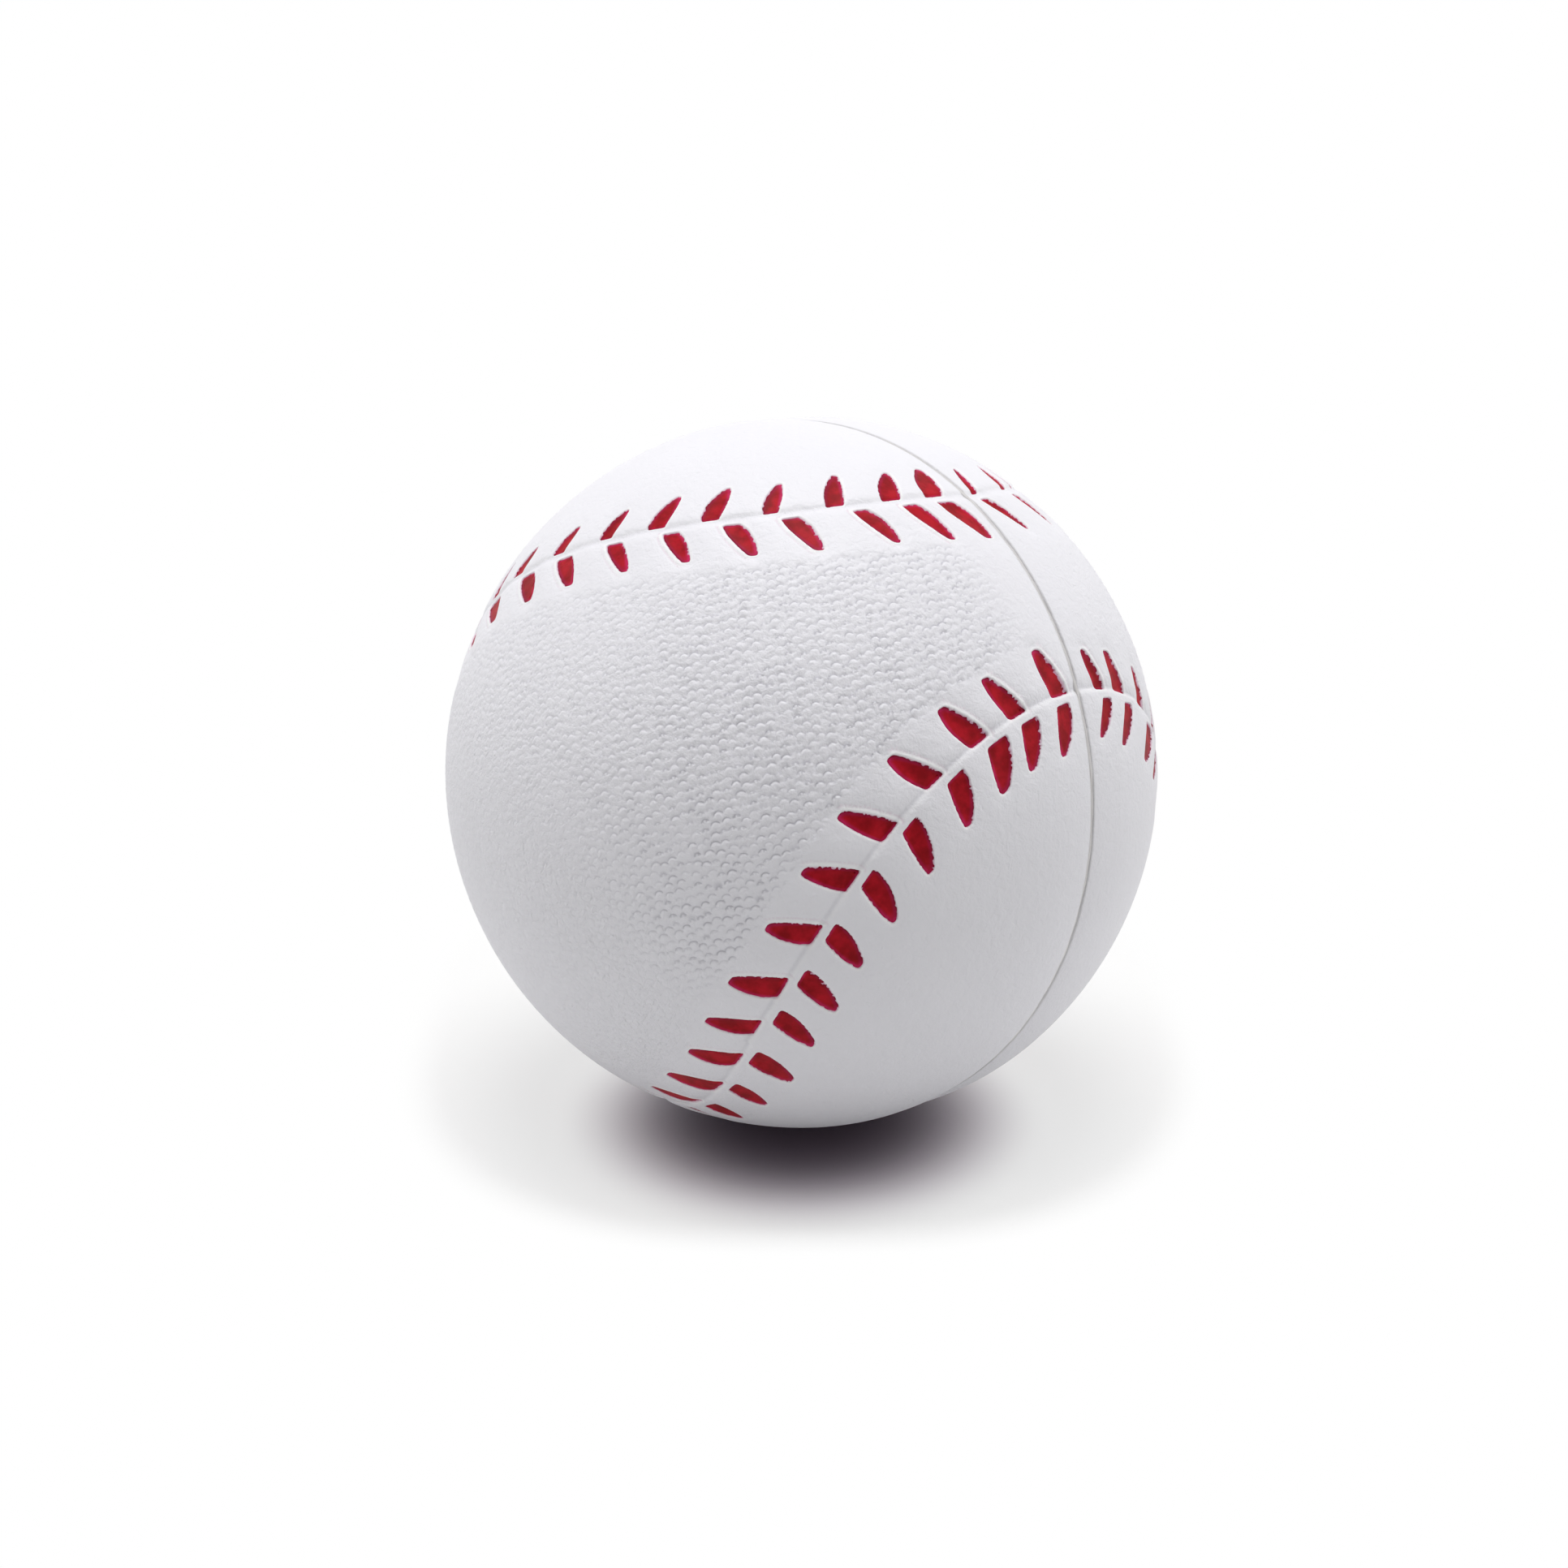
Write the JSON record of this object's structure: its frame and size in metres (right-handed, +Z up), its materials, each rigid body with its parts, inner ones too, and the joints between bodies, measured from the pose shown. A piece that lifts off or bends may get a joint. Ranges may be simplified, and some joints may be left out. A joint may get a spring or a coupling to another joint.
{
  "type": "baseball",
  "caption": "Soft moulded foam baseball for squeezing and indoor play, white, with a curved seam and red painted stitch marks set in pockets.",
  "frame": {"origin": "centre of the ball", "axes": "+Z up in the pose in which the ball lies on a table; +Y points away from the viewer of the picture and +X to the viewer's right"},
  "size_m": [0.063, 0.063, 0.063],
  "materials": {
    "foam": "matte",
    "skin": "satin",
    "mark_paint": "satin"
  },
  "bodies": {
    "root": {"foam_core": "foam", "skin_left": "skin", "skin_right": "skin", "mould_web": "skin", "marks_left_row_a": "mark_paint", "marks_left_row_b": "mark_paint", "marks_right_row_a": "mark_paint", "marks_right_row_b": "mark_paint"}
  },
  "joints": []
}
